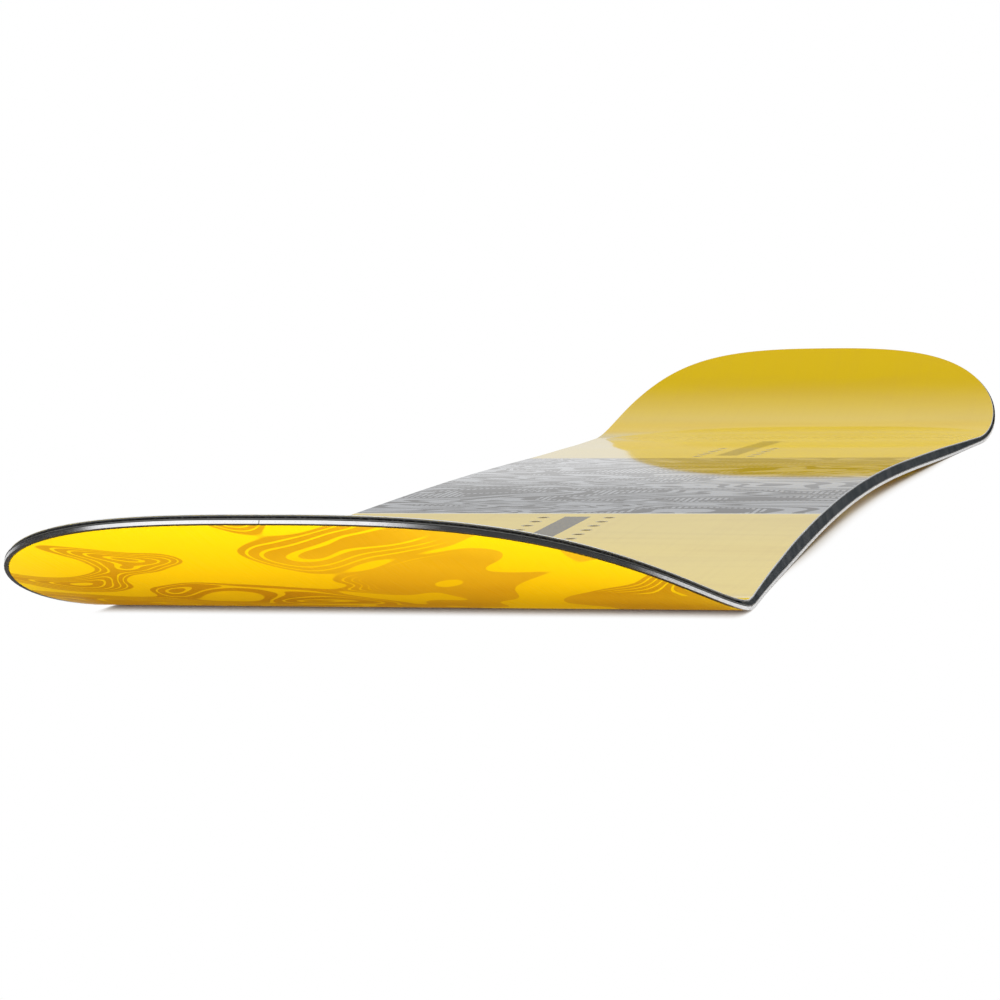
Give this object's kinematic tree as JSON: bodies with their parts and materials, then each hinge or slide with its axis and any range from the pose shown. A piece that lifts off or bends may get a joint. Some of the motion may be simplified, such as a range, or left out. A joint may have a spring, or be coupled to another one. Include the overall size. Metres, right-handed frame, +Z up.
{
  "type": "snowboard",
  "caption": "Wide directional snowboard deck with steel edges, rounded upturned nose and tail, a cambered middle and two packs of threaded binding inserts.",
  "frame": {"origin": "on the ground plane under the middle of the board's length and width, as it lies on its base", "axes": "+Y from nose to tail, +X across the board, +Z up from the base"},
  "size_m": [0.335, 1.52, 0.0707],
  "materials": {
    "topsheet": "clear gloss over a yellow wood tone, with a grey blue printed block in the middle",
    "laminate": "resin and glass laminate",
    "sidewall": "black moulded plastic",
    "base": "polished sintered base, orange with yellow shapes",
    "edge_steel": "ground",
    "insert_steel": "plated",
    "poplar": "bare",
    "ash": "bare"
  },
  "bodies": {
    "root": {"base_sheet": "base", "steel_edge_left": "edge_steel", "steel_edge_right": "edge_steel", "bottom_fiberglass": "laminate", "sidewall_left": "sidewall", "sidewall_right": "sidewall", "nose_tip_fill": "sidewall", "tail_tip_fill": "sidewall", "core_strip_01": "ash", "core_strip_02": "poplar", "core_strip_03": "poplar", "core_strip_04": "poplar", "core_strip_05": "poplar", "core_strip_06": "poplar", "core_strip_07": "poplar", "core_strip_08": "poplar", "core_strip_09": "poplar", "core_strip_10": "poplar", "core_strip_11": "poplar", "core_strip_12": "poplar", "core_strip_13": "ash", "insert_front_01": "insert_steel", "insert_front_02": "insert_steel", "insert_front_03": "insert_steel", "insert_front_04": "insert_steel", "insert_front_05": "insert_steel", "insert_front_06": "insert_steel", "insert_front_07": "insert_steel", "insert_front_08": "insert_steel", "insert_front_09": "insert_steel", "insert_front_10": "insert_steel", "insert_front_11": "insert_steel", "insert_front_12": "insert_steel", "insert_rear_01": "insert_steel", "insert_rear_02": "insert_steel", "insert_rear_03": "insert_steel", "insert_rear_04": "insert_steel", "insert_rear_05": "insert_steel", "insert_rear_06": "insert_steel", "insert_rear_07": "insert_steel", "insert_rear_08": "insert_steel", "insert_rear_09": "insert_steel", "insert_rear_10": "insert_steel", "insert_rear_11": "insert_steel", "insert_rear_12": "insert_steel", "top_fiberglass": "laminate", "topsheet": "topsheet"}
  },
  "joints": []
}
